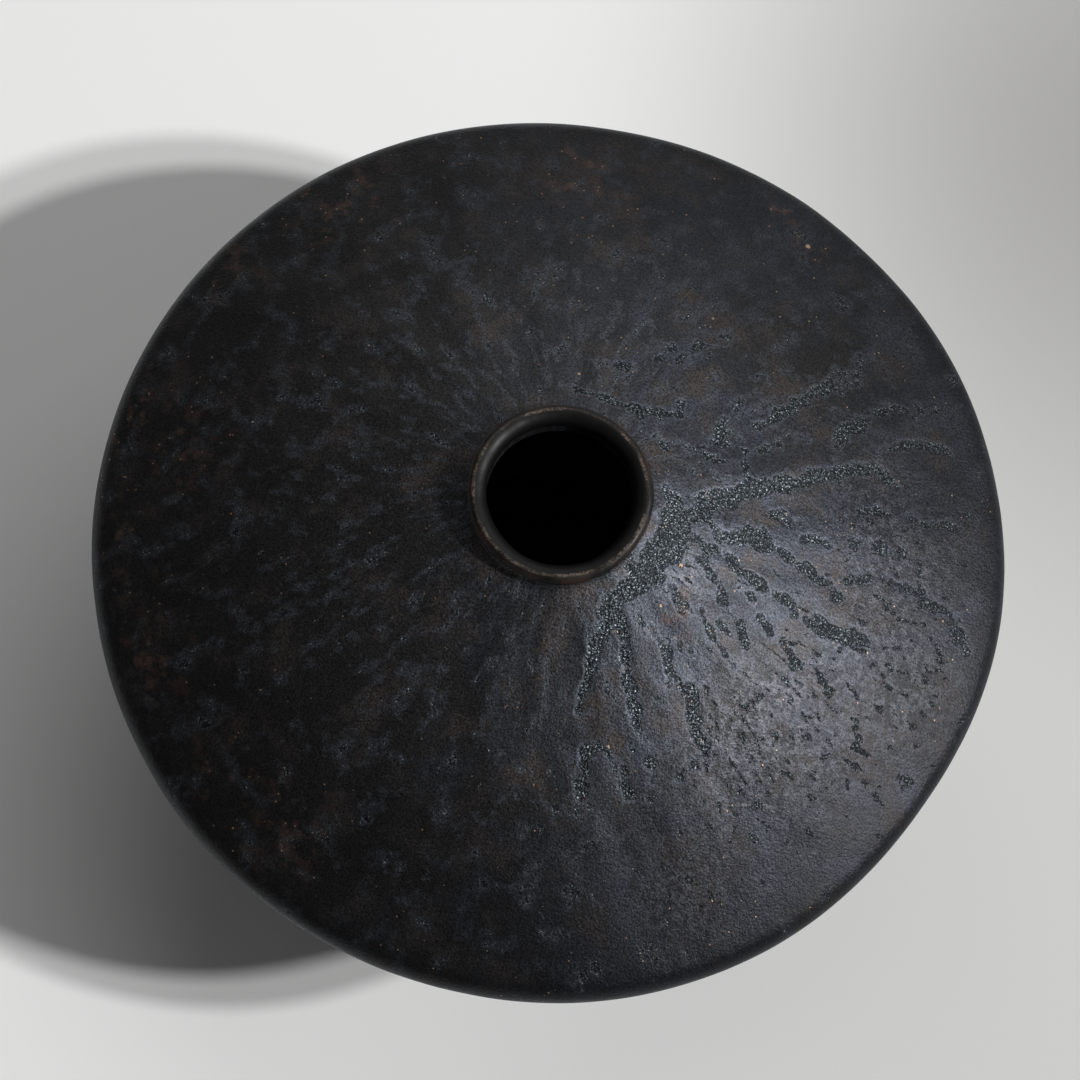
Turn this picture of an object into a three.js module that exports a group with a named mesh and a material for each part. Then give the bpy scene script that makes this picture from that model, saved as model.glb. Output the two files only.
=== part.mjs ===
// A squat black clay pot: a deep lower bowl closed by a shallow cone-shaped shoulder, with a
// very short neck, a thick lip that funnels into the mouth, and a foot ring underneath.
//
// It is put together as a potter does it. A slab floor, a thrown lower bowl and a thrown
// shoulder make the body, a coil is pressed into the rim joint from inside, and a foot ring,
// a neck collar and a lip coil are luted on. Each of those clay pieces is one mesh.
//
// Units are millimetres and +Z is up. The origin is the middle of the face the pot stands on.
// Every outline below is a list of (radius, height) points, turned once about the Z axis.
// Pieces that touch share the very same points along the joint.
import * as THREE from 'three';

// ---- driving dimensions -------------------------------------------------------------------
const BELLY_RADIUS = 110;         // radius at the widest line
const BELLY_HEIGHT = 78;          // height of the widest line above the table
const POT_HEIGHT = 125;           // height of the top of the lip
const WALL = 5.5;                 // thickness of the thrown walls
const EDGE_ROUND = 6;             // rounding of the widest edge, above and below it

const SHOULDER_SLOPE = 27;        // degrees, where the shoulder leaves the rounded edge
const NECK_JOINT_RADIUS = 23.3;   // the shoulder ends and the neck collar begins
const NECK_JOINT_HEIGHT = 120;

const NECK_RADIUS = 21;           // outside of the neck
const NECK_FILLET = 1.8;          // height of the hollow fillet at the root of the neck
const MOUTH_RADIUS = 16.9;        // narrowest inside the neck
const THROAT_ROUND = 4;           // rounding where the mouth opens into the body

const LIP_RADIUS = 21.6;          // widest outside of the lip
const LIP_OUTER_ROUND = 1.5;      // tight rounding on the outside of the lip's crest
const LIP_DEPTH = 3;              // from the crest down to the joint with the collar

const BOWL_SLOPE = 64;            // degrees, where the lower bowl leaves the rounded edge
const FLOOR_RADIUS = 40;          // the slab floor, inside the lower bowl
const FLOOR_THICKNESS = 6;

const FOOT_RADIUS = 46;           // outside of the foot ring where it meets the bowl
const FOOT_WIDTH = 9;
const FOOT_HEIGHT = 5;            // depth of the hollow under the floor
const FOOT_TAPER = 1;             // the ring narrows this much on each side towards the table
const FOOT_ROUND = 1.4;           // rounding of the edges it stands on

const COIL_REACH = 0.65;          // share of the first straight stretch that the coil covers
const COIL_SWELL = 1.5;           // how far the coil stands into the pot

const SEGMENTS = 64;              // facets around the pot
const WALL_STEPS = 7;             // facets along each wall

// ---- outline helpers ----------------------------------------------------------------------
const point = (radius, height) => new THREE.Vector2(radius, height);
const toRadians = THREE.MathUtils.degToRad;
const toDegrees = THREE.MathUtils.radToDeg;

// A direction in the outline's plane: 0 degrees points away from the axis and 90 points up.
const direction = (angle) => point(Math.cos(toRadians(angle)), Math.sin(toRadians(angle)));

// Part of an ellipse about a centre; with one radius it is a circular arc.
function arc(centre, from, to, steps, across, up = across) {
  return Array.from({ length: steps + 1 }, (_, i) => {
    const way = direction(from + (to - from) * i / steps);
    return point(centre.x + across * way.x, centre.y + up * way.y);
  });
}

// The circle that passes through `start`, facing the direction `angle` there, and through `end`.
function sweepCircle(start, angle, end) {
  const facing = direction(angle);
  const chord = end.clone().sub(start);
  const radius = -chord.lengthSq() / (2 * chord.dot(facing));
  const centre = start.clone().addScaledVector(facing, -radius);
  const endAngle = toDegrees(Math.atan2(end.y - centre.y, end.x - centre.x));
  return { centre, radius, angle, endAngle };
}

// A stretch of such a circle, taken `inset` inside it.
function sweep({ centre, radius, angle, endAngle }, inset, steps) {
  return arc(centre, angle, endAngle, steps, radius - inset);
}

// ---- the body's outlines ------------------------------------------------------------------
const edgeOuter = point(BELLY_RADIUS, BELLY_HEIGHT);
const edgeInner = point(BELLY_RADIUS - WALL, BELLY_HEIGHT);
const edgeCentre = point(BELLY_RADIUS - EDGE_ROUND, BELLY_HEIGHT);
const shoulderFacing = 90 - SHOULDER_SLOPE;
const bowlFacing = BOWL_SLOPE - 90;

const edgeTop = arc(edgeCentre, 0, shoulderFacing, 4, EDGE_ROUND);
const shoulderCircle = sweepCircle(edgeTop.at(-1), shoulderFacing,
  point(NECK_JOINT_RADIUS, NECK_JOINT_HEIGHT));
const shoulderOuter = sweep(shoulderCircle, 0, WALL_STEPS);
const shoulderInner = sweep(shoulderCircle, WALL, WALL_STEPS);

const edgeUnder = arc(edgeCentre, 0, bowlFacing, 2, EDGE_ROUND);
const bowlCircle = sweepCircle(edgeUnder.at(-1), bowlFacing, point(FOOT_RADIUS, FOOT_HEIGHT));
const bowlOuter = sweep(bowlCircle, 0, WALL_STEPS);
const bowlInner = sweep(bowlCircle, WALL, WALL_STEPS);

// ---- places where pieces meet -------------------------------------------------------------
const neckJoint = { outer: shoulderOuter.at(-1), inner: shoulderInner.at(-1) };
const lipJoint = {
  outer: point(NECK_RADIUS, POT_HEIGHT - LIP_DEPTH),
  inner: point(MOUTH_RADIUS, POT_HEIGHT - LIP_DEPTH),
};
const floorJoint = {
  top: point(FLOOR_RADIUS, FOOT_HEIGHT + FLOOR_THICKNESS),
  bottom: point(FLOOR_RADIUS, FOOT_HEIGHT),
};
const footJoint = {
  outer: bowlOuter.at(-1),
  inner: point(FOOT_RADIUS - FOOT_WIDTH, FOOT_HEIGHT),
};
const coilJoint = {
  top: edgeInner.clone().lerp(shoulderInner[1], COIL_REACH),
  bottom: edgeInner.clone().lerp(bowlInner[1], COIL_REACH),
};

// ---- the clay pieces ----------------------------------------------------------------------
function footRing() {
  const outerFoot = point(FOOT_RADIUS - FOOT_TAPER - FOOT_ROUND, FOOT_ROUND);
  const innerFoot = point(FOOT_RADIUS - FOOT_WIDTH + FOOT_TAPER + FOOT_ROUND, FOOT_ROUND);
  return [
    footJoint.inner,
    ...arc(innerFoot, 180, 270, 3, FOOT_ROUND),
    ...arc(outerFoot, 270, 360, 3, FOOT_ROUND),
    footJoint.outer,
    floorJoint.bottom,
    footJoint.inner,
  ];
}

function floorDisc() {
  return [
    point(0, floorJoint.bottom.y),
    footJoint.inner,
    floorJoint.bottom,
    floorJoint.top,
    point(0, floorJoint.top.y),
  ];
}

function lowerBowl() {
  return [
    floorJoint.top,
    floorJoint.bottom,
    ...bowlOuter.toReversed(),
    ...edgeUnder.slice(0, -1).toReversed(),
    edgeInner,
    coilJoint.bottom,
    ...bowlInner.slice(1, -1),
    floorJoint.top,
  ];
}

function seamCoil() {
  const swollen = coilJoint.top.clone().lerp(coilJoint.bottom, 0.5);
  swollen.x -= 2 * COIL_SWELL;
  const face = new THREE.QuadraticBezierCurve(coilJoint.top, swollen, coilJoint.bottom);
  return [edgeInner, ...face.getPoints(5), edgeInner];
}

function shoulder() {
  return [
    edgeInner,
    ...edgeTop.slice(0, -1),
    ...shoulderOuter,
    ...shoulderInner.slice(1).toReversed(),
    coilJoint.top,
    edgeInner,
  ];
}

function neckCollar() {
  const filletTop = point(NECK_RADIUS, neckJoint.outer.y + NECK_FILLET);
  const shoulderSlope = toRadians(90 - shoulderCircle.endAngle);
  const filletCorner = point(NECK_RADIUS,
    neckJoint.outer.y + (neckJoint.outer.x - NECK_RADIUS) * Math.tan(shoulderSlope));
  const fillet = new THREE.QuadraticBezierCurve(neckJoint.outer, filletCorner, filletTop);
  const throat = point(MOUTH_RADIUS + THROAT_ROUND, neckJoint.inner.y + THROAT_ROUND);
  return [
    ...fillet.getPoints(4),
    lipJoint.outer,
    lipJoint.inner,
    ...arc(throat, 180, shoulderCircle.endAngle + 180, 4, THROAT_ROUND),
    neckJoint.inner,
    neckJoint.outer,
  ];
}

function lipCoil() {
  const crest = point(LIP_RADIUS - LIP_OUTER_ROUND, POT_HEIGHT - LIP_OUTER_ROUND);
  const funnel = point(crest.x, lipJoint.inner.y);
  return [
    lipJoint.outer,
    ...arc(crest, 0, 90, 4, LIP_OUTER_ROUND),
    ...arc(funnel, 90, 180, 5, crest.x - MOUTH_RADIUS, LIP_DEPTH).slice(1, -1),
    lipJoint.inner,
    lipJoint.outer,
  ];
}

// ---- assembly -----------------------------------------------------------------------------
const BLACK_GLAZE = { color: 0x17191c, roughness: 0.5, metalness: 0.1 };
const WORN_RIM = { color: 0x2c2523, roughness: 0.42, metalness: 0.2 };
const DARK_CLAY = { color: 0x1b1817, roughness: 0.9, metalness: 0 };

const PIECES = [
  ['foot_ring', footRing, DARK_CLAY],
  ['floor_disc', floorDisc, DARK_CLAY],
  ['lower_bowl', lowerBowl, BLACK_GLAZE],
  ['seam_coil', seamCoil, DARK_CLAY],
  ['shoulder', shoulder, BLACK_GLAZE],
  ['neck_collar', neckCollar, BLACK_GLAZE],
  ['lip_coil', lipCoil, WORN_RIM],
];

const pot = new THREE.Group();
pot.name = 'black_clay_pot';

for (const [name, outline, finish] of PIECES) {
  const geometry = new THREE.LatheGeometry(outline(), SEGMENTS);
  geometry.rotateX(Math.PI / 2);
  const mesh = new THREE.Mesh(geometry, new THREE.MeshStandardMaterial(finish));
  mesh.name = name;
  pot.add(mesh);
}

export default pot;
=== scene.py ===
import math

import bmesh
import bpy
import numpy as np
from mathutils import Matrix, Vector


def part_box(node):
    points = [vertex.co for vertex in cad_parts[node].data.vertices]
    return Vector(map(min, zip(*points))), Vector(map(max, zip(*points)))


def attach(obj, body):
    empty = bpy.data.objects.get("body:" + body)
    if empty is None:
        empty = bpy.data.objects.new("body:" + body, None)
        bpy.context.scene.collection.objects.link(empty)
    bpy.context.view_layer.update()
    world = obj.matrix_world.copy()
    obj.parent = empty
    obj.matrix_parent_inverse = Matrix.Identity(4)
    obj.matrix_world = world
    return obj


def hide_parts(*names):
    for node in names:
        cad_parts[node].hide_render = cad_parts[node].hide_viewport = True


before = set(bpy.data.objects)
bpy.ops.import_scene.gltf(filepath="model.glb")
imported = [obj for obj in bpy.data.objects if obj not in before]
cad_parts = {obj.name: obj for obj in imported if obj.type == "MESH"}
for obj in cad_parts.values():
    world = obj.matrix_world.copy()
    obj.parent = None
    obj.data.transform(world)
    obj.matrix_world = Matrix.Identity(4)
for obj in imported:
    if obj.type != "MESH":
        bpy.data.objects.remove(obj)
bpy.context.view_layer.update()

MM = 0.001
TURN = 2 * math.pi

# ---- dimensions read from the frame --------------------------------------------------------
BELLY_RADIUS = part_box("shoulder")[1].x
BELLY_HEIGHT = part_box("shoulder")[0].z
WALL = BELLY_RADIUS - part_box("seam_coil")[1].x
NECK_JOINT = (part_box("neck_collar")[1].x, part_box("shoulder")[1].z)
COIL_BOTTOM, COIL_TOP = (corner.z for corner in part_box("seam_coil"))
LIP_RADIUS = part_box("lip_coil")[1].x
LIP_JOINT_HEIGHT, POT_HEIGHT = (corner.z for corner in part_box("lip_coil"))
FLOOR_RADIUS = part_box("floor_disc")[1].x
FOOT_HEIGHT, FLOOR_TOP = (corner.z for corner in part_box("floor_disc"))
FOOT_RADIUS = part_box("foot_ring")[1].x

# ---- dimensions of the outline that the frame's boxes don't give ---------------------------
EDGE_ROUND = 6 * MM
SHOULDER_FACING = 63
BOWL_FACING = -26
NECK_RADIUS = 21 * MM
NECK_FILLET = 1.8 * MM
MOUTH_RADIUS = 16.9 * MM
THROAT_ROUND = 4 * MM
LIP_OUTER_ROUND = 1.5 * MM
FOOT_WIDTH = 9 * MM
FOOT_TAPER = 1 * MM
FOOT_ROUND = 1.4 * MM
COIL_SWELL = 1.5 * MM

COLUMNS = 600           # around the pot
SHOULDER_ROWS = 124
BOWL_ROWS = 100
INNER_ROWS = 14

# ---- the potter's hand ---------------------------------------------------------------------
# Flats and swells of the rim: azimuth, half-width in degrees, how far it stands out in mm.
SWELLS = [(-20, 9, -1.0), (-34, 9, -0.8), (-75, 14, 0.4), (34, 10, 0.4), (54, 8, -0.4),
          (132, 16, 0.45), (205, 20, -0.3)]
HEIGHT_WANDER = 0.004   # share of the height by which the rim rises and falls
LUMP_HEIGHT = 0.20 * MM
FINGER_HEIGHT = 0.035 * MM
BREADTH_HEIGHT = 0.08 * MM      # slow changes of the whole wall
LEFT_AT_NECK = 0.15     # share of the lumps and finger marks that is left beside the neck
LEFT_AT_EDGE = 0.25     # and at the widest line

# ---- where the glaze ran -------------------------------------------------------------------
# Each run is a line of (azimuth, mm from the axis, half-width in mm), from the neck outwards.
RUNS = [
    # the apron that hugs the neck
    [(16, 25, 1.0), (8, 27, 2.6), (-8, 28, 4.4), (-26, 27, 4.0), (-42, 27, 3.0), (-58, 28, 2.0)],
    # thin ones above the neck
    [(97, 28, 0.6), (74, 27, 1.1), (61, 29, 1.5), (53, 32, 1.5), (48, 36, 1.0), (51, 40, 0.8)],
    [(61, 29, 0.8), (51, 27, 1.1), (38, 28, 0.7)],
    [(84, 36, 0.9), (71, 39, 1.3)],
    [(67, 45, 0.8), (66, 49, 1.3)],
    [(62, 47, 0.7), (61, 54, 1.4), (58, 57, 0.8)],
    [(38, 32, 0.9), (30, 37, 1.2)],
    [(24, 32, 0.7), (19, 38, 0.9), (16, 44, 1.2)],
    # the broad band, with its fork, and the lighter ones above it
    [(4, 31, 2.6), (12, 37, 3.2), (16, 45, 2.9), (19, 57, 2.0), (21, 70, 1.8), (21, 78, 1.6),
     (18, 84, 0.8)],
    [(18, 45, 0.8), (25, 45, 0.7)],
    [(34, 42, 2.4), (38, 44, 1.5), (43, 52, 0.8)],
    [(34, 52, 0.8), (36, 59, 1.7), (38, 73, 1.8), (37, 82, 0.9)],
    [(28, 71, 2.2), (31, 82, 1.3), (31, 91, 1.1), (29, 100, 1.0)],
    [(28, 47, 0.5), (29, 55, 1.3)],
    [(24, 80, 0.5), (25, 87, 1.3), (24, 98, 1.5)],
    [(12, 84, 0.7), (12, 97, 1.3)],
    [(13, 72, 1.3), (13, 83, 0.8)],
    # short ones between the band and the long run
    [(4, 36, 1.0), (0, 40, 1.5), (2, 45, 2.4), (2, 49, 3.0)],
    [(10, 52, 1.8), (8, 57, 1.5)],
    [(5, 58, 1.1), (5, 65, 0.7)],
    [(7, 70, 0.6), (7, 77, 1.4), (6, 84, 1.2)],
    [(1, 52, 0.8), (-1, 56, 1.4), (-3, 64, 1.2), (-5, 69, 1.6)],
    [(-1, 70, 1.5), (1, 76, 0.8), (1, 86, 1.3), (-1, 97, 1.4), (-5, 103, 1.6)],
    # the long run and its branches
    [(-6, 32, 1.6), (-8, 43, 1.4), (-10, 52, 1.2), (-12, 62, 1.1), (-12, 68, 2.2), (-11, 76, 2.6),
     (-10, 80, 1.0)],
    [(-14, 47, 0.9), (-15, 51, 1.0)],
    [(-11, 33, 1.2), (-14, 39, 0.9), (-19, 44, 1.0), (-23, 51, 0.8), (-25, 55, 0.9)],
    [(-27, 34, 1.5), (-31, 38, 1.5)],
    [(-27, 42, 0.9), (-29, 45, 0.8), (-31, 50, 0.7), (-32, 56, 0.8)],
    [(-19, 54, 0.9), (-19, 61, 1.2)],
    [(-20, 64, 1.3), (-22, 68, 1.5)],
    # the runs towards the near side
    [(-44, 37, 0.9), (-46, 47, 1.2), (-45, 54, 1.8), (-48, 61, 1.9), (-48, 66, 1.5), (-55, 68, 0.9)],
    [(-52, 29, 1.4), (-57, 39, 1.5), (-59, 46, 1.6), (-60, 53, 1.3), (-59, 57, 0.7)],
    [(-53, 29, 1.2), (-66, 35, 2.2), (-71, 41, 1.5), (-74, 48, 0.9)],
    [(-73, 57, 1.5), (-75, 66, 1.9)],
    [(-66, 63, 1.3), (-66, 68, 1.4)],
    [(-60, 62, 0.9), (-61, 70, 1.2)],
]
RUN_SOFTNESS = 3 * MM   # the run's value falls from 1 to 0 across twice this, about its outline
RUN_RAGGED = 0.09       # how far the run's value strays, which makes its outline ragged
RUN_DEPTH = 0.08 * MM
RUN_BANK = (0.44, 0.62)         # the run's value where the skin begins and ends to sink
LEVEE_HEIGHT = 0.015 * MM
LEVEE_CREST = 0.36      # the run's value along the low levee outside its outline
LEVEE_SPREAD = 0.09

# Wide zones of the shoulder where the glaze crawled, their frost partly painted sheen and the last
# one a painted highlight beside the neck: azimuth, mm from the axis, size in mm.
CRAWL_AND_SHEEN_ZONES = [(-28, 78, 21), (-12, 88, 17), (-44, 72, 16), (8, 80, 16), (-60, 92, 12),
           (-22, 34, 6)]
RUSTED = [(172, 104, 12), (178, 88, 9), (-168, 104, 11), (-152, 100, 10), (-133, 95, 9),
          (-120, 94, 9), (150, 104, 9), (131, 96, 13), (66, 103, 5), (95, 90, 12), (60, 98, 6),
          (-27, 38, 4), (-41, 40, 5)]
# Small chips and iron specks of the shoulder: azimuth, mm from the axis, radius in mm.
CHIPS = [(-68, 57, 0.35), (60, 98, 0.6), (63, 63, 0.3), (91, 32, 0.3), (-18, 32, 0.4),
         (-36, 34, 0.3)]


def around(azimuth, centre):
    """The degrees from `centre`, in degrees, to each azimuth, in radians, the shorter way round."""
    return (np.degrees(azimuth) - centre + 180) % 360 - 180


def plan(azimuth, distance):
    """The plan point at an azimuth in degrees and a distance from the axis in millimetres."""
    angle = math.radians(azimuth)
    return np.array([math.cos(angle), math.sin(angle)]) * distance * MM


def out_of_round(azimuth):
    """How far the rim stands out of a true circle, as a share of its radius."""
    swell = np.zeros_like(azimuth)
    for centre, width, height in SWELLS:
        swell += height * MM * np.exp(-0.5 * (around(azimuth, centre) / width) ** 2)
    return swell / BELLY_RADIUS


def waves(azimuth, reach, turns, along, count, seed):
    """A smooth random field of about unit size, made of `count` waves with up to `turns` crests
    around the pot and up to `along` radians to a metre of `reach`."""
    draw = np.random.default_rng(seed)
    total = np.zeros(np.broadcast(azimuth, reach).shape)
    for _ in range(count):
        crests = draw.integers(-turns, turns + 1)
        total += np.cos(crests * azimuth + draw.uniform(-along, along) * reach
                        + draw.uniform(0, TURN))
    return total / math.sqrt(count / 2)


def run_field(x, y):
    """1 well inside a run, 0.5 on its outline and 0 well outside."""
    nearest = np.full(x.shape, 1.0)
    for run in RUNS:
        places = [(plan(azimuth, distance), width * MM) for azimuth, distance, width in run]
        for (start, start_width), (end, end_width) in zip(places, places[1:]):
            way = end - start
            along = ((x - start[0]) * way[0] + (y - start[1]) * way[1]) / way.dot(way)
            along = np.clip(along, 0, 1)
            gap = np.hypot(x - start[0] - along * way[0], y - start[1] - along * way[1])
            nearest = np.minimum(nearest, gap - start_width - along * (end_width - start_width))
    return np.clip(0.5 - nearest / (2 * RUN_SOFTNESS), 0, 1)


def zone_field(x, y, zones):
    """Soft round zones added together, each 1 at its centre."""
    total = np.zeros(x.shape)
    for azimuth, distance, size in zones:
        centre = plan(azimuth, distance)
        total += np.exp(-((x - centre[0]) ** 2 + (y - centre[1]) ** 2) / (size * MM) ** 2)
    return np.clip(total, 0, 1)


def smooth(value, low, high):
    """0 below `low` and 1 above `high`, with a smooth step between."""
    share = np.clip((value - low) / (high - low), 0, 1)
    return share * share * (3 - 2 * share)


# ---- outlines ------------------------------------------------------------------------------
# An outline is an array with one row for each point: radius, height, the way its surface faces
# (radians, 0 away from the axis) and skin, which is 1 on the glazed outside and 0 within.
def row(radius, height, facing, skin):
    """One point of an outline, with its facing in degrees."""
    return np.array([radius, height, math.radians(facing), skin])


def arc(centre, start, end, steps, across, up=None, skin=1.0):
    """Part of an ellipse about a centre, anticlockwise or clockwise, facing away from it."""
    angle = np.radians(np.linspace(start, end, steps + 1))
    radius = centre[0] + across * np.cos(angle)
    height = centre[1] + (up or across) * np.sin(angle)
    return np.column_stack([radius, height, angle, np.full_like(angle, skin)])


def between(start, end, steps):
    """Points in even steps from one to another, with both of them."""
    return np.linspace(start, end, steps + 1)


def curve(start, handle, other_handle, end, steps, skin=1.0):
    """A Bezier curve through the outline's plane, facing its right-hand side."""
    t = np.linspace(0, 1, steps + 1)[:, None]
    points = np.array([start, handle, other_handle, end])
    weights = np.hstack([(1 - t) ** 3, 3 * t * (1 - t) ** 2, 3 * t * t * (1 - t), t ** 3])
    slopes = np.hstack([(1 - t) ** 2, 2 * t * (1 - t), t * t])
    place = weights @ points
    way = slopes @ np.diff(points, axis=0)
    facing = np.arctan2(-way[:, 0], way[:, 1])
    return np.column_stack([place, facing, np.full(steps + 1, skin)])


def sweep_circle(start, angle, end):
    """The circle through `start`, where it faces `angle`, and through `end`."""
    facing = np.array([math.cos(math.radians(angle)), math.sin(math.radians(angle))])
    chord = np.subtract(end, start)
    radius = -chord.dot(chord) / (2 * chord.dot(facing))
    centre = start - radius * facing
    end_angle = math.degrees(math.atan2(end[1] - centre[1], end[0] - centre[0]))
    return centre, radius, angle, end_angle


def sweep(circle, inset, steps, skin):
    """A stretch of such a circle, taken `inset` inside it."""
    centre, radius, start, end = circle
    return arc(centre, start, end, steps, radius - inset, skin=skin)


edge_centre = (BELLY_RADIUS - EDGE_ROUND, BELLY_HEIGHT)
edge_inner = row(BELLY_RADIUS - WALL, BELLY_HEIGHT, 0, 0)
edge_joint = between(row(BELLY_RADIUS, BELLY_HEIGHT, 0, 1), edge_inner, 3)

edge_top = arc(edge_centre, 0, SHOULDER_FACING, 8, EDGE_ROUND)
shoulder_circle = sweep_circle(edge_top[-1, :2], SHOULDER_FACING, NECK_JOINT)
shoulder_outer = sweep(shoulder_circle, 0, SHOULDER_ROWS, 1)
shoulder_inner = sweep(shoulder_circle, WALL, INNER_ROWS, 0)

edge_under = arc(edge_centre, 0, BOWL_FACING, 4, EDGE_ROUND)
bowl_circle = sweep_circle(edge_under[-1, :2], BOWL_FACING, (FOOT_RADIUS, FOOT_HEIGHT))
bowl_outer = sweep(bowl_circle, 0, BOWL_ROWS, 1)
bowl_inner = sweep(bowl_circle, WALL, INNER_ROWS, 0)
bowl_inner = bowl_inner[bowl_inner[:, 1] > FLOOR_TOP]

neck_joint = between(shoulder_outer[-1], shoulder_inner[-1], 3)
lip_joint = between(row(NECK_RADIUS, LIP_JOINT_HEIGHT, 0, 1),
                    row(MOUTH_RADIUS, LIP_JOINT_HEIGHT, 180, 0.5), 4)
foot_joint = between(bowl_outer[-1], row(FLOOR_RADIUS, FOOT_HEIGHT, -90, 0), 2)
floor_side = between(foot_joint[-1], row(FLOOR_RADIUS, FLOOR_TOP, 0, 0), 2)
floor_rim = row(FOOT_RADIUS - FOOT_WIDTH, FOOT_HEIGHT, -90, 0)
coil_over = shoulder_inner[shoulder_inner[:, 1] < COIL_TOP]
coil_under = bowl_inner[bowl_inner[:, 1] > COIL_BOTTOM]


def chain(*stretches):
    """Stretches that meet end to end, joined into one closed outline."""
    rows = np.vstack(stretches)
    step = np.linalg.norm((rows - np.roll(rows, 1, axis=0))[:, :2], axis=1)
    return rows[step > 0.001 * MM]


def foot_ring():
    inner_round = (FOOT_RADIUS - FOOT_WIDTH + FOOT_TAPER + FOOT_ROUND, FOOT_ROUND)
    outer_round = (FOOT_RADIUS - FOOT_TAPER - FOOT_ROUND, FOOT_ROUND)
    inside = arc(inner_round, 180, 270, 6, FOOT_ROUND, skin=0)
    outside = arc(outer_round, -90, 0, 6, FOOT_ROUND, skin=0)
    return chain(between(floor_rim, inside[0], 5), inside, between(inside[-1], outside[0], 5),
                 outside, between(outside[-1], bowl_outer[-1], 5), foot_joint,
                 between(foot_joint[-1], floor_rim, 2))


def floor_disc():
    underside = between(row(0, FOOT_HEIGHT, -90, 0), floor_rim, 24)
    top = between(floor_side[-1], row(0, FLOOR_TOP, 90, 0), 24)
    return chain(underside, between(floor_rim, foot_joint[-1], 2), floor_side, top)


def lower_bowl():
    return chain(floor_side[::-1], foot_joint[::-1], bowl_outer[::-1], edge_under[::-1],
                 edge_joint, bowl_inner)


def seam_coil():
    top, bottom = coil_over[-1, :2], coil_under[-1, :2]
    swell = np.array([COIL_SWELL * 4 / 3, 0])
    handles = [top + (bottom - top) / 3 - swell, bottom + (top - bottom) / 3 - swell]
    face = curve(top, *handles, bottom, 16, skin=0)
    return chain(edge_inner[None], coil_over, face, coil_under[::-1])


def shoulder():
    return chain(edge_joint[::-1], edge_top, shoulder_outer, neck_joint, shoulder_inner[::-1])


def neck_collar():
    start = np.array(NECK_JOINT)
    end = np.array([NECK_RADIUS, NECK_JOINT[1] + NECK_FILLET])
    slope = math.tan(math.radians(90 - shoulder_circle[3]))
    corner = np.array([NECK_RADIUS, NECK_JOINT[1] + (NECK_JOINT[0] - NECK_RADIUS) * slope])
    fillet = curve(start, (start + 2 * corner) / 3, (end + 2 * corner) / 3, end, 12)
    throat = (MOUTH_RADIUS + THROAT_ROUND, neck_joint[-1, 1] + THROAT_ROUND)
    inside = arc(throat, 180, shoulder_circle[3] + 180, 12, THROAT_ROUND, skin=0.5)
    inside[:, 3] = np.linspace(0.5, 0, len(inside))
    return chain(fillet, lip_joint, between(lip_joint[-1], inside[0], 3), inside,
                 neck_joint[::-1])


def lip_coil():
    crest = (LIP_RADIUS - LIP_OUTER_ROUND, POT_HEIGHT - LIP_OUTER_ROUND)
    funnel = (crest[0], LIP_JOINT_HEIGHT)
    waist, bulge = lip_joint[0, :2], np.array([LIP_RADIUS, crest[1]])
    rise = np.array([0, (bulge - waist)[1] / 2])
    outside = curve(waist, waist + rise, bulge - rise, bulge, 8)
    crown = arc(crest, 0, 90, 14, LIP_OUTER_ROUND)
    inside = arc(funnel, 90, 180, 20, crest[0] - MOUTH_RADIUS, POT_HEIGHT - LIP_JOINT_HEIGHT)
    inside[:, 3] = np.linspace(1, 0.5, len(inside))
    return chain(outside, crown, inside, lip_joint[::-1])


# ---- turning an outline into clay ----------------------------------------------------------
def relief(azimuth, radius, height):
    """How far the glazed skin stands out of its outline, in metres."""
    reach = np.where(height > BELLY_HEIGHT, 1, -1) * (BELLY_RADIUS - radius)
    clear_of_foot = smooth(height, FOOT_HEIGHT, FOOT_HEIGHT + 15 * MM)
    clear_of_neck = LEFT_AT_NECK + (1 - LEFT_AT_NECK) * smooth(radius, NECK_RADIUS,
                                                               2.2 * NECK_RADIUS)
    clear_of_edge = LEFT_AT_EDGE + (1 - LEFT_AT_EDGE) * smooth(np.abs(reach), 0, 12 * MM)
    lumps = LUMP_HEIGHT * waves(azimuth, reach, turns=22, along=110, count=40, seed=3)
    fingers = FINGER_HEIGHT * waves(azimuth, reach, turns=60, along=420, count=70, seed=11)
    breadth = BREADTH_HEIGHT * waves(azimuth, reach, turns=7, along=30, count=12, seed=5)
    return clear_of_foot * (breadth + clear_of_neck * clear_of_edge * (lumps + fingers))


def grain_of_runs(x, y):
    """A smooth random field over the plan with features a few millimetres across."""
    draw = np.random.default_rng(29)
    count = 60
    total = np.zeros(x.shape)
    for _ in range(count):
        way = draw.uniform(0, TURN)
        pitch = TURN / (draw.uniform(3, 9) * MM)
        total += np.cos(pitch * (x * math.cos(way) + y * math.sin(way)) + draw.uniform(0, TURN))
    return total / math.sqrt(count / 2)


def glaze_fields(x, y, height):
    """Where the glaze has run, crawled (also where sheen is painted) and rusted, as values from 0 to
    1.
    """
    above = smooth(height, BELLY_HEIGHT - EDGE_ROUND, BELLY_HEIGHT)
    run = np.clip(run_field(x, y) + RUN_RAGGED * grain_of_runs(x, y), 0, 1)
    return {"run": run * above, "crawl_and_sheen": zone_field(x, y, CRAWL_AND_SHEEN_ZONES) * above,
            "rust": zone_field(x, y, RUSTED)}


def faces_around(outline):
    """The four-sided faces between each row of points and the next, all the way round."""
    here = np.arange(len(outline))[:, None] * COLUMNS + np.arange(COLUMNS)
    right = np.roll(here, -1, axis=1)
    faces = np.dstack([here, right, np.roll(right, -1, axis=0), np.roll(here, -1, axis=0)])
    starts_on_axis = outline[0, 0] == 0
    return (faces[:-1] if starts_on_axis else faces).reshape(-1, 4)


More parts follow.
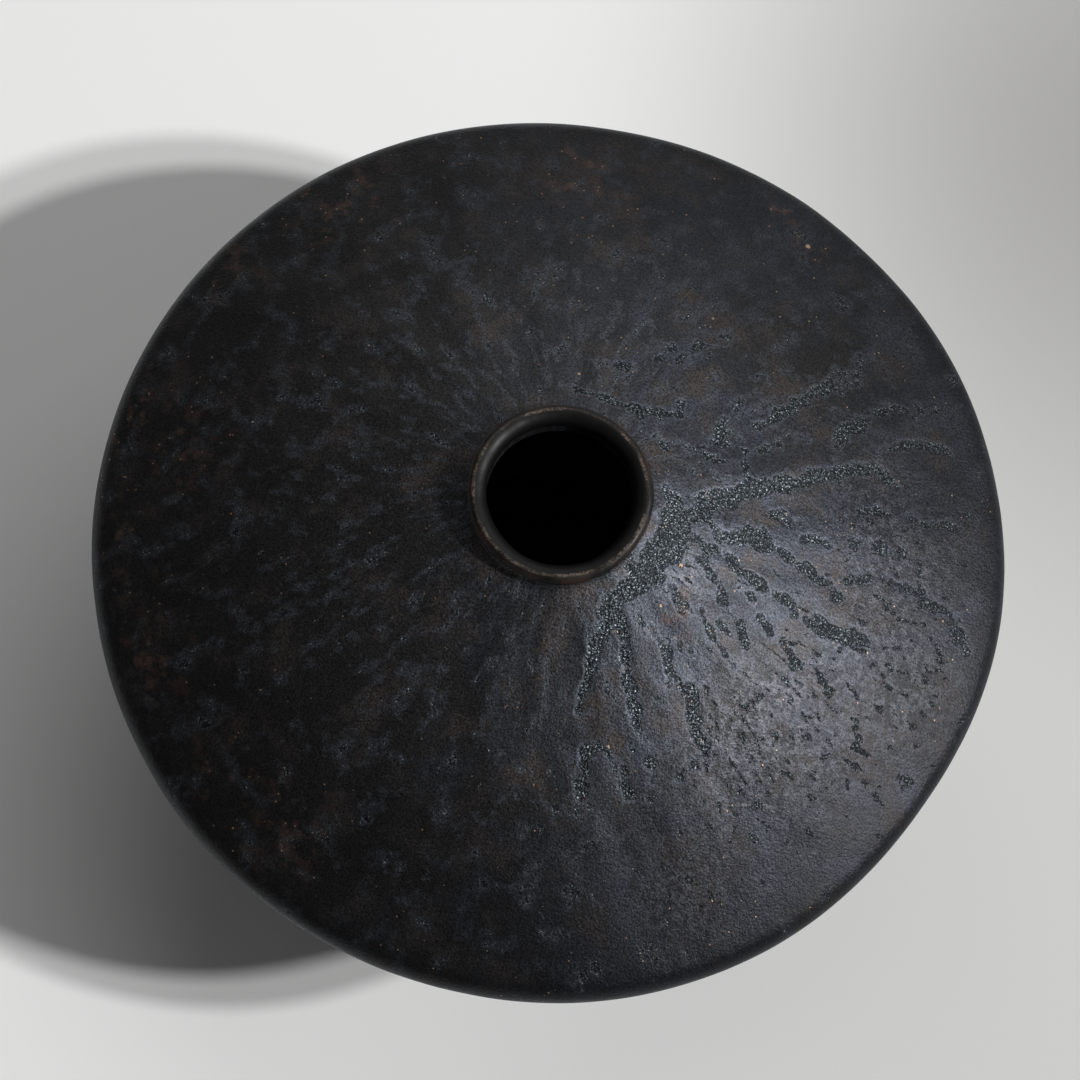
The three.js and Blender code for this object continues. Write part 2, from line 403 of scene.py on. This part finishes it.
def turn(name, outline, material):
    """Turn a closed outline about Z, by an uneven hand, into a piece of clay."""
    azimuth = np.arange(COLUMNS) * TURN / COLUMNS
    radius, height, facing, skin = (column[:, None] for column in outline.T)
    fields = glaze_fields(radius * np.cos(azimuth), radius * np.sin(azimuth), height)
    sunk = smooth(fields["run"], *RUN_BANK) * RUN_DEPTH
    levee = np.exp(-((fields["run"] - LEVEE_CREST) / LEVEE_SPREAD) ** 2) * LEVEE_HEIGHT
    lift = skin * (relief(azimuth, radius, height) - sunk + levee)
    far = (radius + lift * np.cos(facing)) * (1 + out_of_round(azimuth))
    up = (height + lift * np.sin(facing)) * (1 + HEIGHT_WANDER * np.sin(2 * azimuth + 1))
    points = np.dstack([far * np.cos(azimuth), far * np.sin(azimuth), up]).reshape(-1, 3)

    mesh = bpy.data.meshes.new(name)
    mesh.from_pydata(points.tolist(), [], faces_around(outline).tolist())
    for field, value in fields.items():
        data = mesh.attributes.new(field, "FLOAT", "POINT").data
        data.foreach_set("value", value.astype(np.float32).ravel())
    close_poles(mesh)
    mesh.shade_smooth()
    mesh.set_sharp_from_angle(angle=math.radians(50))
    mesh.materials.append(material)

    piece = bpy.data.objects.new(name, mesh)
    bpy.context.collection.objects.link(piece)
    return piece


def close_poles(mesh):
    """Merge the points that lie together on the axis."""
    shape = bmesh.new()
    shape.from_mesh(mesh)
    bmesh.ops.remove_doubles(shape, verts=shape.verts, dist=0.0001 * MM)
    shape.to_mesh(mesh)
    shape.free()


# ---- materials -----------------------------------------------------------------------------
class Surface:
    """A glaze or clay being mixed: each method adds a node and returns what comes out of it."""

    def __init__(self, name):
        self.material = bpy.data.materials.new(name)
        self.material.use_nodes = True
        self.nodes = self.material.node_tree.nodes
        self.links = self.material.node_tree.links
        self.shader = self.nodes["Principled BSDF"]
        self.place = self.nodes.new("ShaderNodeTexCoord").outputs["Object"]

    def feed(self, socket, value):
        """Link a node's output to the socket, or set a plain value on it."""
        if isinstance(value, bpy.types.NodeSocket):
            self.links.new(value, socket)
        else:
            socket.default_value = value

    def add(self, kind, inputs, output=0, **settings):
        """A new node with these inputs and settings, of which the output is returned."""
        node = self.nodes.new(kind)
        for setting, value in settings.items():
            setattr(node, setting, value)
        for name, value in inputs.items():
            self.feed(node.inputs[name], value)
        return node.outputs[output]

    def math(self, operation, first, second):
        """Two numbers put together; ABSOLUTE takes no notice of the second."""
        return self.add("ShaderNodeMath", {0: first, 1: second}, operation=operation)

    def field(self, name):
        """One of the mesh's own values, as `turn` stored it."""
        return self.add("ShaderNodeAttribute", {}, "Fac", attribute_name=name)

    def noise(self, size, detail=2, vector=None, roughness=0.5):
        """Soft noise from 0 to 1 with features about `size` millimetres across."""
        return self.add("ShaderNodeTexNoise", {
            "Vector": vector or self.place, "Scale": 1 / (size * MM), "Detail": detail,
            "Roughness": roughness})

    def cells(self, size, vector=None, metric="EUCLIDEAN"):
        """The distance from the middle of the nearest of many cells `size` millimetres across."""
        return self.add("ShaderNodeTexVoronoi", {
            "Vector": vector or self.place, "Scale": 1 / (size * MM)}, distance=metric)

    def stirred(self, size, by):
        """The object's places, shifted about `by` millimetres by noise of the given size."""
        swirl = self.add("ShaderNodeTexNoise", {
            "Vector": self.place, "Scale": 1 / (size * MM), "Detail": 2}, "Color")
        centred = self.add("ShaderNodeVectorMath", {0: swirl, 1: (0.5, 0.5, 0.5)},
                           operation="SUBTRACT")
        shift = self.add("ShaderNodeVectorMath", {0: centred, "Scale": 2 * by * MM},
                         operation="SCALE")
        return self.add("ShaderNodeVectorMath", {0: self.place, 1: shift}, operation="ADD")

    def fade(self, value, low, high, start=0.0, end=1.0):
        """`start` below `low` and `end` above `high`, with a smooth step between."""
        return self.add("ShaderNodeMapRange", {
            "Value": value, "From Min": low, "From Max": high, "To Min": start, "To Max": end},
            interpolation_type="SMOOTHSTEP")

    def blend(self, share, first, second):
        """From the first colour to the second as the share goes from 0 to 1."""
        return self.add("ShaderNodeMixRGB", {"Fac": share, "Color1": first, "Color2": second})

    def flat(self):
        """The object's places dropped to the height of the floor."""
        return self.add("ShaderNodeVectorMath", {0: self.place, 1: (1, 1, 0)},
                        operation="MULTIPLY")

    def from_axis(self):
        return self.add("ShaderNodeVectorMath", {0: self.flat()}, "Value", operation="LENGTH")

    def spot(self, azimuth, distance, radius, ragged):
        """A spot about a place in plan, with its radius in millimetres and a ragged outline."""
        centre = (*plan(azimuth, distance), 0)
        gap = self.add("ShaderNodeVectorMath", {0: self.flat(), 1: centre}, "Value",
                       operation="DISTANCE")
        gap = self.total((2 * radius * MM, ragged), (1.0, gap))
        return self.fade(gap, 0.8 * radius * MM, 1.3 * radius * MM, 1.0, 0.0)

    def speckle(self, colour, noise, share):
        """That share of the colour, darkened and lightened by a fine noise."""
        gain = self.math("MULTIPLY", share, self.fade(noise, 0.30, 0.70, *SPECKLE_GAINS))
        return self.add("ShaderNodeVectorMath", {0: colour, "Scale": gain}, operation="SCALE")

    def fan(self, spread, length):
        """Places for noise whose features fan out from the axis: `spread` features to a radian
        and `length` millimetres long."""
        way = self.add("ShaderNodeVectorMath", {0: self.flat()}, operation="NORMALIZE")
        turned = self.add("ShaderNodeVectorMath", {0: way, "Scale": spread},
                          operation="SCALE")
        rise = self.add("ShaderNodeCombineXYZ", {
            "Z": self.math("DIVIDE", self.from_axis(), length * MM)})
        return self.add("ShaderNodeVectorMath", {0: turned, 1: rise}, operation="ADD")

    def streaks(self, spread, length, detail):
        """Soft noise from 0 to 1 with features that fan out from the axis."""
        return self.add("ShaderNodeTexNoise", {
            "Vector": self.fan(spread, length), "Scale": 1.0, "Detail": detail})

    def total(self, *parts):
        """The sum of share times value over (share, value) pairs."""
        result = 0.0
        for share, value in parts:
            result = self.add("ShaderNodeMath", {0: value, 1: share, 2: result},
                              operation="MULTIPLY_ADD")
        return result

    def finish(self, colour, roughness, height):
        """Set the shader's colour, its roughness and its bump, a height in millimetres."""
        self.feed(self.shader.inputs["Base Color"], colour)
        self.feed(self.shader.inputs["Roughness"], roughness)
        bump = self.add("ShaderNodeBump", {
            "Strength": 1.0, "Distance": MM, "Height": height}, "Normal")
        self.feed(self.shader.inputs["Normal"], bump)
        return self.material


BLACK = (0.026, 0.0245, 0.023, 1)
BLUE_BLACK = (0.031, 0.0345, 0.042, 1)
BLUE_GREY = (0.052, 0.059, 0.075, 1)
BROWN_BLACK = (0.052, 0.044, 0.041, 1)
# pale frost of a crawled glaze, also painted sheen where it lies
FROST_AND_SHEEN = (0.102, 0.104, 0.118, 1)
PALE_LINE = (0.092, 0.103, 0.128, 1)
HAZE = (0.064, 0.071, 0.084, 1)
# painted glint: the pale colour of sparkles on the crystals
PAINTED_GLINT = (0.36, 0.42, 0.44, 1)
# dark glaze in the recessed gaps between crystals, deepened as painted shade there
PIT_AND_SHADE = (0.008, 0.010, 0.012, 1)
CRYSTAL = (0.080, 0.096, 0.104, 1)
RUST = (0.084, 0.048, 0.036, 1)
TAN = (0.40, 0.27, 0.18, 1)
SHEEN_TINT = (0.94, 0.975, 1.10, 1)
LIP_BLACK = (0.0030, 0.0029, 0.0028, 1)
LIP_BROWN = (0.020, 0.012, 0.008, 1)
# rubbed clay along the lip's crest, also painted as its highlight
CREST_CLAY_AND_HIGHLIGHT = (0.11, 0.085, 0.068, 1)
SLIP_BLACK = (0.003, 0.003, 0.003, 1)
SLIP_GREY = (0.009, 0.0085, 0.008, 1)
CLAY_DARK = (0.020, 0.015, 0.013, 1)
CLAY_LIGHT = (0.045, 0.034, 0.028, 1)
GRIT = (0.11, 0.085, 0.065, 1)
PAPER = (0.86, 0.86, 0.855, 1)
# painted shade: the paper's colour on the key lamp's side
PAPER_PAINTED_SHADE = (0.60, 0.60, 0.595, 1)
# painted shadow: the colour in the middle of a soft shadow patch on the paper
PAPER_PAINTED_SHADOW = (0.36, 0.356, 0.35, 1)

# The glaze is partly a metal's lustre: its colours then set the sheen as well as the body colour.
LUSTRE = 0.7
SPECKLE_GAINS = (0.28, 1.88)    # of the darkest and the lightest specks of the fine noise
PAINTED_SHEEN_FULL = 25 * MM           # painted sheen: as far as this from the axis the glaze is painted at its palest
PAINTED_SHADE_FULL = 112 * MM           # painted shade: and from here on the glaze is painted at its darkest
EDGE_PAINTED_SHADE = (102 * MM, 109 * MM)        # painted shade: across this it darkens once more, at the widest edge
BLUE_SIDE = (-60 * MM, 50 * MM)         # between these X the glaze turns from brown to blue
CREST_RADIUS = LIP_RADIUS - LIP_OUTER_ROUND + 0.3 * MM


def frosted_spots(glaze, ragged, crawl_and_sheen):
    """A value that is high in small spots of haze, which fan out from the neck."""
    spots = glaze.math("ADD", glaze.streaks(15, 6, detail=6), glaze.math("MULTIPLY", ragged, 0.4))
    return glaze.math("SUBTRACT", spots, glaze.math("MULTIPLY", crawl_and_sheen, 0.1))


def grainy_places(glaze, ragged, crawl_and_sheen, run, frosted):
    """1 in the runs, in the small torn patches around them and in the middle of frosted spots."""
    in_run = glaze.fade(run, 0.48, 0.62)
    torn = glaze.math("ADD", glaze.streaks(36, 3.6, detail=6), glaze.math("MULTIPLY", ragged, 0.5))
    tear_line = glaze.fade(crawl_and_sheen, 0.0, 1.0, 0.70, 0.585)
    in_patch = glaze.fade(glaze.math("SUBTRACT", torn, tear_line), -0.01, 0.05)
    in_frost = glaze.fade(frosted, 0.62, 0.69)
    return glaze.math("MAXIMUM", glaze.math("MAXIMUM", in_run, in_patch), in_frost)


def smooth_skin(glaze, frost, mottle, crawl_and_sheen, frosted):
    """The colour between the runs: black or bluish, mottled brown, hazy, and frosted where it
    crawled, a frost that is partly painted sheen.
    """
    blue_side = glaze.fade(glaze.add("ShaderNodeSeparateXYZ", {0: glaze.place}, "X"), *BLUE_SIDE)
    broad = glaze.fade(glaze.noise(38, detail=3), 0.30, 0.55)
    streak = glaze.fade(glaze.streaks(7, 18, detail=5), 0.45, 0.70)
    # pale frost where the glaze crawled, partly painted sheen
    bloom_and_sheen = glaze.math("MULTIPLY", crawl_and_sheen, glaze.fade(frost, 0.42, 0.60))
    colour = glaze.blend(glaze.math("MULTIPLY", blue_side, broad), BLACK, BLUE_BLACK)
    colour = glaze.blend(glaze.math("MULTIPLY", blue_side, streak), colour, BLUE_GREY)
    colour = glaze.blend(glaze.fade(mottle, 0.48, 0.66), colour, BROWN_BLACK)
    colour = glaze.blend(glaze.fade(frosted, 0.50, 0.64, 0.0, 0.7), colour, HAZE)
    return glaze.blend(bloom_and_sheen, colour, FROST_AND_SHEEN)


def crystals(glaze, grain, places):
    """The colour of the runs: grey crystals, dark pits between them deepened by painted shade, and
    painted glints here and there.
    """
    painted_glint = glaze.fade(glaze.noise(0.4, 1, places), 0.57, 0.70, 0.0, 0.5)
    return glaze.blend(painted_glint, glaze.blend(glaze.fade(grain, 0.2, 0.6), CRYSTAL, PIT_AND_SHADE), PAINTED_GLINT)


def rust_and_grit(glaze, ragged, colour):
    """Rust-brown breaks, tan specks and the chips laid over a colour."""
    rust = glaze.math("MULTIPLY", glaze.field("rust"),
                      glaze.fade(glaze.noise(5, detail=6, roughness=0.7), 0.50, 0.66))
    colour = glaze.blend(glaze.math("MULTIPLY", rust, 0.7), colour, RUST)
    gritty = glaze.total((1.0, glaze.noise(5)), (0.3, rust))
    speck = glaze.math("MULTIPLY", glaze.fade(glaze.cells(1.7), 0.08, 0.14, 1.0, 0.0),
                       glaze.fade(gritty, 0.58, 0.63))
    for chip in CHIPS:
        speck = glaze.math("MAXIMUM", speck, glaze.spot(*chip, ragged))
    return glaze.blend(glaze.math("MULTIPLY", speck, 0.8), colour, TAN)


def black_glaze():
    """Satin black, mottled blue-grey and brown, with grainy runs between smooth islands."""
    glaze = Surface("black_glaze")
    fine = glaze.noise(0.45, detail=3, roughness=0.7)
    frost = glaze.noise(2.0, detail=6, roughness=0.7)
    mottle = glaze.noise(12, detail=6, roughness=0.62)
    ragged = glaze.math("SUBTRACT", frost, 0.5)
    crawl_and_sheen = glaze.field("crawl_and_sheen")
    run = glaze.math("ADD", glaze.field("run"), glaze.math("MULTIPLY", ragged, 0.55))
    frosted = frosted_spots(glaze, ragged, crawl_and_sheen)
    grainy = grainy_places(glaze, ragged, crawl_and_sheen, run, frosted)

    # the skin, with a paler line along each run, and the crystals within the runs
    pale_line = glaze.math("MULTIPLY", glaze.fade(run, 0.38, 0.50),
                           glaze.math("SUBTRACT", 1.0, grainy))
    skin = smooth_skin(glaze, frost, mottle, crawl_and_sheen, frosted)
    skin = glaze.blend(glaze.math("MULTIPLY", pale_line, 0.45), skin, PALE_LINE)
    places = glaze.stirred(1.2, 0.5)
    grain = glaze.cells(0.72, places, "MANHATTAN")

    # painted sheen and shade: both are palest beside the neck and darken towards the widest edge
    painted_sheen = glaze.fade(glaze.from_axis(), PAINTED_SHEEN_FULL, PAINTED_SHADE_FULL, 1.0, 0.0)
    skin_share = glaze.math("MULTIPLY", glaze.fade(painted_sheen, 0.0, 1.0, 0.39, 0.92),
                            glaze.fade(glaze.from_axis(), *EDGE_PAINTED_SHADE, 1.0, 0.6))
    skin = glaze.speckle(skin, fine, skin_share)
    run_colour = glaze.speckle(crystals(glaze, grain, places), fine,
                               glaze.fade(painted_sheen, 0.0, 1.0, 0.55, 1.1))
    colour = rust_and_grit(glaze, ragged, glaze.blend(grainy, skin, run_colour))

    glaze.shader.inputs["Metallic"].default_value = LUSTRE
    glaze.shader.inputs["Specular Tint"].default_value = SHEEN_TINT
    roughness = glaze.total((0.16, frost), (0.16, fine), (0.16, mottle), (0.23, 1.0))
    height = glaze.total((0.07, fine), (0.06, frost), (0.08, glaze.noise(7, detail=3)),
                         (-0.04, grain), (-0.09, glaze.math("MULTIPLY", grain, grainy)))
    return glaze.finish(colour, roughness, height)


def worn_rim():
    """The black glaze of the neck, with a thin pale line along the lip's crest: clay rubbed bare
    there, and a painted highlight.
    """
    glaze = Surface("worn_rim")
    fine = glaze.noise(0.5, detail=3)
    mottle = glaze.noise(6, detail=4)
    radius = glaze.total((1.0, glaze.from_axis()), (0.5 * MM, mottle))
    off_crest = glaze.math("ABSOLUTE", glaze.math("SUBTRACT", radius, CREST_RADIUS), 0.0)
    crest = glaze.fade(off_crest, 0.15 * MM, 0.55 * MM, 1.0, 0.0)
    outside = glaze.fade(radius, CREST_RADIUS, LIP_RADIUS)
    colour = glaze.blend(glaze.math("MULTIPLY", outside, glaze.fade(mottle, 0.35, 0.6)),
                         LIP_BLACK, LIP_BROWN)
    # the pale crest line is rubbed clay and a painted highlight
    crest_wear_and_highlight = glaze.math("MULTIPLY", crest, glaze.fade(fine, 0.38, 0.62, 0.1, 1.0))
    crest_wear_and_highlight = glaze.math("MULTIPLY", crest_wear_and_highlight, glaze.fade(mottle, 0.42, 0.56, 0.2, 1.0))
    colour = glaze.blend(crest_wear_and_highlight, colour, CREST_CLAY_AND_HIGHLIGHT)
    glaze.shader.inputs["Specular IOR Level"].default_value = 0.22
    roughness = glaze.total((0.2, mottle), (0.1, fine), (-0.12, crest), (0.34, 1.0))
    return glaze.finish(colour, roughness, glaze.total((0.03, fine), (0.08, mottle)))


def inner_glaze():
    """Thin matt black slip inside the pot."""
    glaze = Surface("inner_glaze")
    fine = glaze.noise(0.8, detail=3)
    broad = glaze.noise(20, detail=3)
    colour = glaze.blend(broad, SLIP_BLACK, SLIP_GREY)
    return glaze.finish(colour, glaze.total((0.3, fine), (0.55, 1.0)),
                        glaze.total((0.05, fine), (0.2, broad)))


def bare_clay():
    """Dark stoneware left bare on the foot, with grit in it."""
    clay = Surface("bare_clay")
    fine = clay.noise(0.4, detail=4, roughness=0.6)
    broad = clay.noise(11, detail=3)
    colour = clay.blend(broad, CLAY_DARK, CLAY_LIGHT)
    grit = clay.fade(clay.cells(1.6), 0.12, 0.2, 1.0, 0.0)
    colour = clay.blend(clay.math("MULTIPLY", grit, 0.5), colour, GRIT)
    return clay.finish(colour, clay.total((0.2, fine), (0.72, 1.0)),
                       clay.total((0.09, fine), (0.12, broad), (0.05, grit)))


# ---- the pot -------------------------------------------------------------------------------
BLACK_GLAZE = black_glaze()
WORN_RIM = worn_rim()
INNER_GLAZE = inner_glaze()
BARE_CLAY = bare_clay()

PIECES = [
    ("foot_ring", foot_ring, BARE_CLAY, "bare_clay"),
    ("floor_disc", floor_disc, INNER_GLAZE, "inner_glaze"),
    ("lower_bowl", lower_bowl, BLACK_GLAZE, "black_glaze"),
    ("seam_coil", seam_coil, INNER_GLAZE, "inner_glaze"),
    ("shoulder", shoulder, BLACK_GLAZE, "black_glaze"),
    ("neck_collar", neck_collar, BLACK_GLAZE, "black_glaze"),
    ("lip_coil", lip_coil, WORN_RIM, "worn_rim"),
]

for node, outline, material, slot in PIECES:
    piece = turn(f"{node}_clay", outline(), material)
    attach(piece, "root")
    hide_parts(node)


# ---- camera --------------------------------------------------------------------------------
def look(tilt, roll, distance, across, up, lens):
    """A camera above the near side, tilted from straight down and turned about its own axis."""
    tilt, roll = math.radians(tilt), math.radians(roll)
    back = Vector((0, -math.sin(tilt), math.cos(tilt)))
    level = Vector((1, 0, 0))
    top = back.cross(level)
    right = math.cos(roll) * level + math.sin(roll) * top
    top = back.cross(right)
    aim = Vector((0, 0, BELLY_HEIGHT)) + across * right + up * top
    camera = bpy.data.objects.new("camera", bpy.data.cameras.new("camera"))
    camera.matrix_world = Matrix.Translation(aim + distance * back) @ \
        Matrix((right, top, back)).transposed().to_4x4()
    camera.data.lens = lens
    camera.data.sensor_width = 36
    bpy.context.collection.objects.link(camera)
    bpy.context.scene.camera = camera


look(tilt=16.86, roll=10.27, distance=1.0, across=-2.3 * MM, up=2.2 * MM, lens=138.4)


# ---- light and floor -----------------------------------------------------------------------
SURROUND_STRENGTH = 0.10
FLOOR_REACH = 4.0               # from the pot to each side of the floor
PAINTED_SHADE_SPAN = (-0.05, 0.16)        # painted shade: between these X the paper turns darker, towards the key lamp
PAINTED_SHADOW_CENTRE = (0.15, 0.17, 0)        # the middle of a painted shadow on the paper
PAINTED_SHADOW_REACH = 0.18


def lamp(name, azimuth, elevation, distance, size, power):
    """A round area light that faces the axis at the height of the widest line."""
    azimuth, elevation = math.radians(azimuth), math.radians(elevation)
    way = Vector((math.cos(elevation) * math.cos(azimuth),
                  math.cos(elevation) * math.sin(azimuth), math.sin(elevation)))
    light = bpy.data.lights.new(name, "AREA")
    light.shape = "DISK"
    light.size = size
    light.energy = power
    lamp_object = bpy.data.objects.new(name, light)
    lamp_object.location = Vector((0, 0, BELLY_HEIGHT)) + distance * way
    lamp_object.rotation_euler = way.to_track_quat("Z", "Y").to_euler()
    bpy.context.collection.objects.link(lamp_object)


lamp("key", azimuth=-5.1, elevation=40.7, distance=4.0, size=0.19, power=80)
lamp("second_key", azimuth=-0.7, elevation=43.4, distance=4.06, size=0.19, power=80)
lamp("fill", azimuth=80, elevation=47, distance=2.0, size=2.4, power=15)


def studio():
    """An even pale surround and a matt pale floor, with painted shade and a painted shadow on the
    floor.
    """
    world = bpy.data.worlds.new("surround")
    world.use_nodes = True
    background = world.node_tree.nodes["Background"]
    background.inputs["Color"].default_value = (1, 1, 1, 1)
    background.inputs["Strength"].default_value = SURROUND_STRENGTH
    bpy.context.scene.world = world

    paper = Surface("floor_paper")
    across = paper.add("ShaderNodeSeparateXYZ", {0: paper.place}, "X")
    away = paper.add("ShaderNodeVectorMath", {0: paper.place, 1: PAINTED_SHADOW_CENTRE}, "Value",
                     operation="DISTANCE")
    # painted shade darkens the paper towards the key side, and a painted shadow lies near the far
    # corner
    colour = paper.blend(paper.fade(across, *PAINTED_SHADE_SPAN), PAPER, PAPER_PAINTED_SHADE)
    colour = paper.blend(paper.fade(away, 0.0, PAINTED_SHADOW_REACH), PAPER_PAINTED_SHADOW, colour)
    paper.finish(colour, 0.85, paper.total((0.02, paper.noise(1.5))))
    corners = [(x * FLOOR_REACH, y * FLOOR_REACH, 0) for x, y in ((-1, -1), (1, -1), (1, 1), (-1, 1))]
    mesh = bpy.data.meshes.new("floor")
    mesh.from_pydata(corners, [], [(0, 1, 2, 3)])
    mesh.materials.append(paper.material)
    floor = bpy.data.objects.new("floor", mesh)
    bpy.context.collection.objects.link(floor)


studio()
bpy.context.scene.view_settings.view_transform = "Standard"
